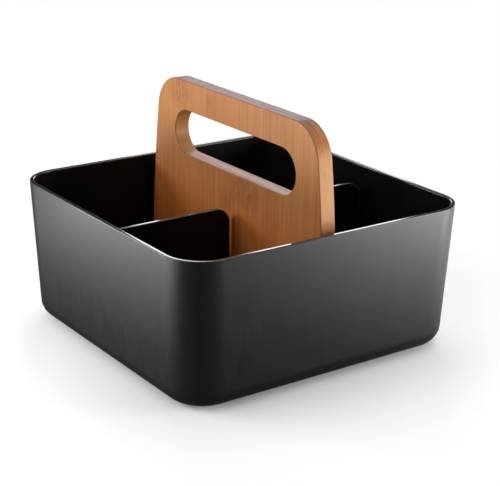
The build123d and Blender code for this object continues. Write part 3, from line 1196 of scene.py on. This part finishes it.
def rubber_material(finish):
    """Matt rubber with a fine grain and a little dust."""
    material, graph, shader = start_material("Foot rubber")
    place = graph.place()
    grain = graph.noise(place, 3400.0, 2.0, 0.6)
    dust = graph.ranged(graph.noise(place, 420.0, 3.0, 0.6), 0.5, 0.75)
    shade = graph.mix(dust, rgba(finish.rubber), rgba(finish.rubber, RUBBER_DUST))
    dress(graph, shader, shade, graph.ranged(dust, 0.0, 1.0, 0.62, 0.8), grain,
          RUBBER_BUMP, RUBBER_DEPTH)
    return material


# ---------------------------------------------------------------- stage

# Name, place, what it looks at, width and height in metres, and power in watts
LAMPS = (
    ("strip_left", (-0.085, -0.29, 0.03), (0.02, -0.10, 0.06), (0.32, 0.05), 0.47),
    ("strip_right", (0.26, 0.255, 0.02), (0.10, 0.05, 0.07), (0.24, 0.035), 0.46),
    ("softbox_left", (-0.52, -0.52, 0.27), (-0.02, -0.03, 0.10), (0.3, 0.2), 1.9),
    ("softbox_front", (-0.22, -0.72, 0.62), (0.0, 0.0, 0.09), (0.5, 0.4), 2.1),
    ("softbox_right", (0.50, 0.50, 0.16), (0.09, 0.02, 0.08), (0.3, 0.2), 2.6),
    ("softbox_back", (-0.941, 0.705, 0.545), (0.006, 0.008, 0.10), (0.41, 0.23), 1.72),
    ("softbox_high", (-0.15, 0.25, 0.90), (0.0, 0.0, 0.08), (0.8, 0.8), 3.4),
)
FLOOR_ROUGHNESS, FLOOR_SPECULAR = 0.22, 0.3
FLOOR_SIDES = 96
# The painted shadow under the tub, where the floor's glow drops: half width of its square core, how
# far outside it fades, and its glow
SHADOW_CORE = 0.06
SHADOW_FADE = (0.024, 0.044)
SHADOW_GLOW = 0.1
# Distance from the middle over which the floor turns to plain white
WHITE_FADE = (0.15, 0.32)
# How much of the floor's mirror image in glossy walls is the painted reflection of two glowing
# patches
PAINTED_REFLECTION_SHARE = 0.9
# Height of a direction over which the mirrored sky falls off, and the sky's plain strength
HORIZON_FADE = (0.04, 0.16)
SKY_STRENGTH = 0.3
SENSOR_WIDTH = 36.0
VIEW_DEPTH = 50.0


def camera_matrix(stage):
    """Place and aim of the camera from its heading, dip and roll."""
    heading, dip, roll = stage.camera_turn
    level = Vector((math.cos(heading), math.sin(heading), 0))
    ahead = Vector((
        -math.sin(heading) * math.cos(dip), math.cos(heading) * math.cos(dip), -math.sin(dip),
    ))
    upwards = level.cross(ahead)
    right = math.cos(roll) * level + math.sin(roll) * upwards
    over = math.cos(roll) * upwards - math.sin(roll) * level
    aim = Matrix((right, over, -ahead)).transposed().to_4x4()
    return Matrix.Translation(Vector(stage.camera_place)) @ aim


def add_lamp(name, place, target, size, power):
    """Soft rectangular lamp that looks at a point."""
    data = bpy.data.lights.new(name, "AREA")
    data.shape = "RECTANGLE"
    data.size, data.size_y = size
    data.energy = power
    lamp = bpy.data.objects.new(name, data)
    bpy.context.scene.collection.objects.link(lamp)
    lamp.location = place
    lamp.rotation_euler = (Vector(target) - Vector(place)).to_track_quat("-Z", "Y").to_euler()
    lamp.visible_camera = False


def seen_directly(graph, rays):
    """Mask of the rays that see a surface straight or through glass."""
    return graph.math("MAXIMUM", rays["Is Camera Ray"], rays["Is Transmission Ray"])


def floor_glow(graph, place, glow):
    """Strength that lifts the floor to white, dropping near the tub to paint a shadow under it."""
    around = graph.parts(graph.vector("ABSOLUTE", place)["Vector"])
    reach = [graph.math("MAXIMUM", graph.plus(around[axis], -SHADOW_CORE), 0.0) for axis in "XY"]
    gap = graph.math("SQRT", graph.plus(*(graph.times(side, side) for side in reach)))
    return graph.ranged(gap, *SHADOW_FADE, SHADOW_GLOW * glow, glow, smooth=True)


def painted_reflection_strength(graph, place):
    """Strength of two glowing patches on the floor that only glossy walls see, a painted
    reflection: right and left.
    """
    side = graph.parts(place)
    right = graph.ranged(graph.plus(graph.times(side["X"], 0.35), side["Y"]),
                         0.06, 0.36, 0.04, 1.6, smooth=True)
    left = graph.times(graph.ranged(side["Y"], -0.24, -0.12, 1.0, 0.0, smooth=True),
                       graph.ranged(side["X"], -0.05, 0.05, 1.0, 0.0, smooth=True),
                       graph.ranged(side["X"], -0.34, -0.12, 0.42, 1.0, smooth=True))
    return graph.math("MAXIMUM", left, right)


def floor_material(stage):
    """Pale floor that reads as white and keeps the shadow. Glossy walls see in it two glowing
    patches, a painted reflection.
    """
    material = bpy.data.materials.new("Pale floor")
    graph = start_tree(material)
    rays = graph.node("ShaderNodeLightPath").outputs
    seen = seen_directly(graph, rays)
    place = graph.place()
    pale = graph.node("ShaderNodeBsdfPrincipled", {
        "Base Color": rgba(stage.floor_colour), "Roughness": FLOOR_ROUGHNESS,
        "Specular IOR Level": FLOOR_SPECULAR, "Emission Color": WHITE,
        "Emission Strength": graph.times(seen, floor_glow(graph, place, stage.floor_glow)),
    })
    white = graph.node("ShaderNodeEmission", {"Color": WHITE, "Strength": 1.0})
    painted_reflection = graph.node("ShaderNodeEmission", {
        "Color": WHITE, "Strength": painted_reflection_strength(graph, place),
    })
    clear = graph.node("ShaderNodeBsdfTransparent")
    away = graph.vector("LENGTH", place)["Value"]
    far = graph.times(graph.ranged(away, *WHITE_FADE, smooth=True), seen)
    # Painted reflection: glossy rays see the glowing patches in place of the floor
    mirrored = graph.times(rays["Is Glossy Ray"], PAINTED_REFLECTION_SHARE)
    back = graph.node("ShaderNodeNewGeometry").outputs["Backfacing"]
    floor = graph.mix_shaders(far, pale, white)
    floor = graph.mix_shaders(mirrored, floor, painted_reflection)
    floor = graph.mix_shaders(back, floor, clear)
    graph.node("ShaderNodeOutputMaterial", {"Surface": floor.outputs[0]})
    return material


def set_world():
    """White surroundings for the camera, with soft light from a pale sky."""
    world = bpy.data.worlds.new("Studio")
    bpy.context.scene.world = world
    graph = start_tree(world)
    rays = graph.node("ShaderNodeLightPath").outputs
    direction = graph.node("ShaderNodeTexCoord").outputs["Generated"]
    height = graph.parts(direction)["Z"]
    horizon = graph.ranged(height, *HORIZON_FADE, 1.0, 0.03, smooth=True)
    sky = graph.node("ShaderNodeMix", {0: rays["Is Glossy Ray"], 2: SKY_STRENGTH, 3: horizon},
                     data_type="FLOAT")
    strength = graph.math("MAXIMUM", sky.outputs[0], seen_directly(graph, rays))
    shader = graph.node("ShaderNodeBackground", {"Color": WHITE, "Strength": strength})
    graph.node("ShaderNodeOutputWorld", {"Surface": shader.outputs[0]})


# ---------------------------------------------------------------- operators


class CaddyTub(bpy.types.Operator):
    """Build the moulded tub with its ribs, guides and pockets."""

    bl_idname = "caddy.tub"
    bl_label = "Tub"

    def execute(self, context):
        all_settings = settings()
        tub, socket, finish = all_settings.tub, all_settings.socket, all_settings.finish
        skins = [plastic_material(name, finish.plastic, roughness) for name, roughness in (
            ("Tub textured", finish.skin_roughness),
            ("Tub smooth", finish.inside_roughness),
            ("Tub rim", finish.rim_roughness),
        )]
        piece = tub_shell(tub, skins)
        combine(piece, tub_ribs(tub, socket, skins), "UNION")
        combine(piece, underside_cutter(tub, socket, all_settings.fastener.screw_x), "DIFFERENCE")
        smooth_faces(piece.data)
        even_normals(piece)
        settle(piece, "caddy", "tub", "tub_plastic")
        return {"FINISHED"}


class CaddyBoard(bpy.types.Operator):
    """Build the three glued plies of the handle board."""

    bl_idname = "caddy.board"
    bl_label = "Handle board"

    def execute(self, context):
        board, finish = settings().board, settings().finish
        outlines = [board_outline(board), grip_outline(board)]
        face, glue = board.thickness / 2, board.core / 2

        def place(x, z, depth):
            return (x, depth, z)

        bamboo = (bamboo_material("Bamboo face", finish), "bamboo")
        core = (bamboo_material("Bamboo core", finish, core=True), "bamboo_core")
        plies = (
            ("handle_front_ply", [(-glue, 0.0)] + rounded_rows(-face, board.edge_round), bamboo),
            ("handle_core_ply", [(-glue, 0.0), (glue, 0.0)], core),
            ("handle_back_ply", [(glue, 0.0)] + rounded_rows(face, board.edge_round), bamboo),
        )
        for name, rows, (material, slot) in plies:
            piece = new_object(name, slab(outlines, place, rows), material)
            even_normals(piece)
            settle(piece, "caddy", name, slot)
        return {"FINISHED"}


class CaddyDividers(bpy.types.Operator):
    """Build the two loose divider panels."""

    bl_idname = "caddy.dividers"
    bl_label = "Dividers"

    def execute(self, context):
        divider, tub, finish = settings().divider, settings().tub, settings().finish
        outline = divider_outline(divider, tub)
        half, ease = divider.thickness / 2, divider.edge_round
        rows = list(reversed(rounded_rows(-half, ease))) + rounded_rows(half, ease)
        sides = plastic_material("Divider sides", finish.plastic, finish.divider_roughness)
        edges = plastic_material("Divider edges", finish.plastic, finish.rim_roughness)
        for row, side in ROWS:
            def place(y, z, depth):
                return (depth, side * y, z)

            name = f"divider_{row}"
            piece = new_object(name, slab([outline], place, rows), sides, edges)
            for polygon in piece.data.polygons:
                polygon.material_index = 0 if abs(polygon.normal.x) > FLAT_SIDE else 1
            even_normals(piece)
            settle(piece, name, name, "divider_plastic")
        return {"FINISHED"}


class CaddyScrews(bpy.types.Operator):
    """Build the two screws that hold the board from beneath."""

    bl_idname = "caddy.screws"
    bl_label = "Screws"

    def execute(self, context):
        fastener, ceiling = settings().fastener, settings().socket.pocket_ceiling
        material = steel_material(settings().finish)
        for column, side in COLUMNS:
            name = f"screw_{column}"
            piece = make_screw(name, side * fastener.screw_x, fastener, ceiling, material)
            settle(piece, "caddy", name, "screw_steel")
        return {"FINISHED"}


class CaddyFeet(bpy.types.Operator):
    """Build the four non-slip feet."""

    bl_idname = "caddy.feet"
    bl_label = "Feet"

    def execute(self, context):
        all_settings = settings()
        material = rubber_material(all_settings.finish)
        for name, (x, y) in foot_places(all_settings.tub, all_settings.socket).items():
            piece = new_object(name, foot_body(x, y, all_settings.fastener), material)
            settle(piece, "caddy", name, "foot_rubber")
        return {"FINISHED"}


class CaddyStage(bpy.types.Operator):
    """Set up the floor, the lamps, the surroundings and the camera."""

    bl_idname = "caddy.stage"
    bl_label = "Stage"

    def execute(self, context):
        stage = settings().stage
        bm = bmesh.new()
        bmesh.ops.create_circle(
            bm, cap_ends=True, segments=FLOOR_SIDES, radius=stage.floor_radius)
        floor = new_object("floor", bm, floor_material(stage))
        if floor.data.polygons[0].normal.z < 0:
            floor.data.flip_normals()
        for lamp in LAMPS:
            add_lamp(*lamp)
        set_world()
        data = bpy.data.cameras.new("camera")
        data.lens = stage.camera_lens
        data.sensor_width = SENSOR_WIDTH
        data.clip_end = VIEW_DEPTH
        camera = bpy.data.objects.new("camera", data)
        context.scene.collection.objects.link(camera)
        camera.matrix_world = camera_matrix(stage)
        context.scene.camera = camera
        context.scene.view_settings.view_transform = "Standard"
        return {"FINISHED"}


OPERATORS = (CaddyTub, CaddyBoard, CaddyDividers, CaddyScrews, CaddyFeet, CaddyStage)


class CADDY_PT_build(bpy.types.Panel):
    """Lists the pieces and their settings."""

    bl_idname = "CADDY_PT_build"
    bl_label = "Utensil Caddy"
    bl_space_type = "VIEW_3D"
    bl_region_type = "UI"
    bl_category = "Caddy"

    def draw(self, context):
        for operator in OPERATORS:
            self.layout.operator(operator.bl_idname)
        for name, group in settings().bl_rna.properties.items():
            if group.type == "POINTER" and name != "rna_type":
                box = self.layout.box()
                box.label(text=group.name)
                part = getattr(settings(), name)
                for key in part.bl_rna.properties.keys():
                    if key not in ("rna_type", "name"):
                        box.prop(part, key)


CLASSES = (
    CaddyTubSettings, CaddySocketSettings, CaddyBoardSettings, CaddyDividerSettings,
    CaddyFastenerSettings, CaddyFinishSettings, CaddyStageSettings, CaddySettings,
) + OPERATORS + (CADDY_PT_build,)


def register():
    """Registers the classes and the settings."""
    for made in CLASSES:
        bpy.utils.register_class(made)
    bpy.types.Scene.caddy = pointer("Caddy", "The caddy", CaddySettings)


def unregister():
    """Removes the settings and the classes."""
    del bpy.types.Scene.caddy
    for made in reversed(CLASSES):
        bpy.utils.unregister_class(made)


def main():
    """Builds every piece and the stage."""
    register()
    for operator in OPERATORS:
        group, name = operator.bl_idname.split(".")
        getattr(getattr(bpy.ops, group), name)()


if __name__ == "__main__":
    main()
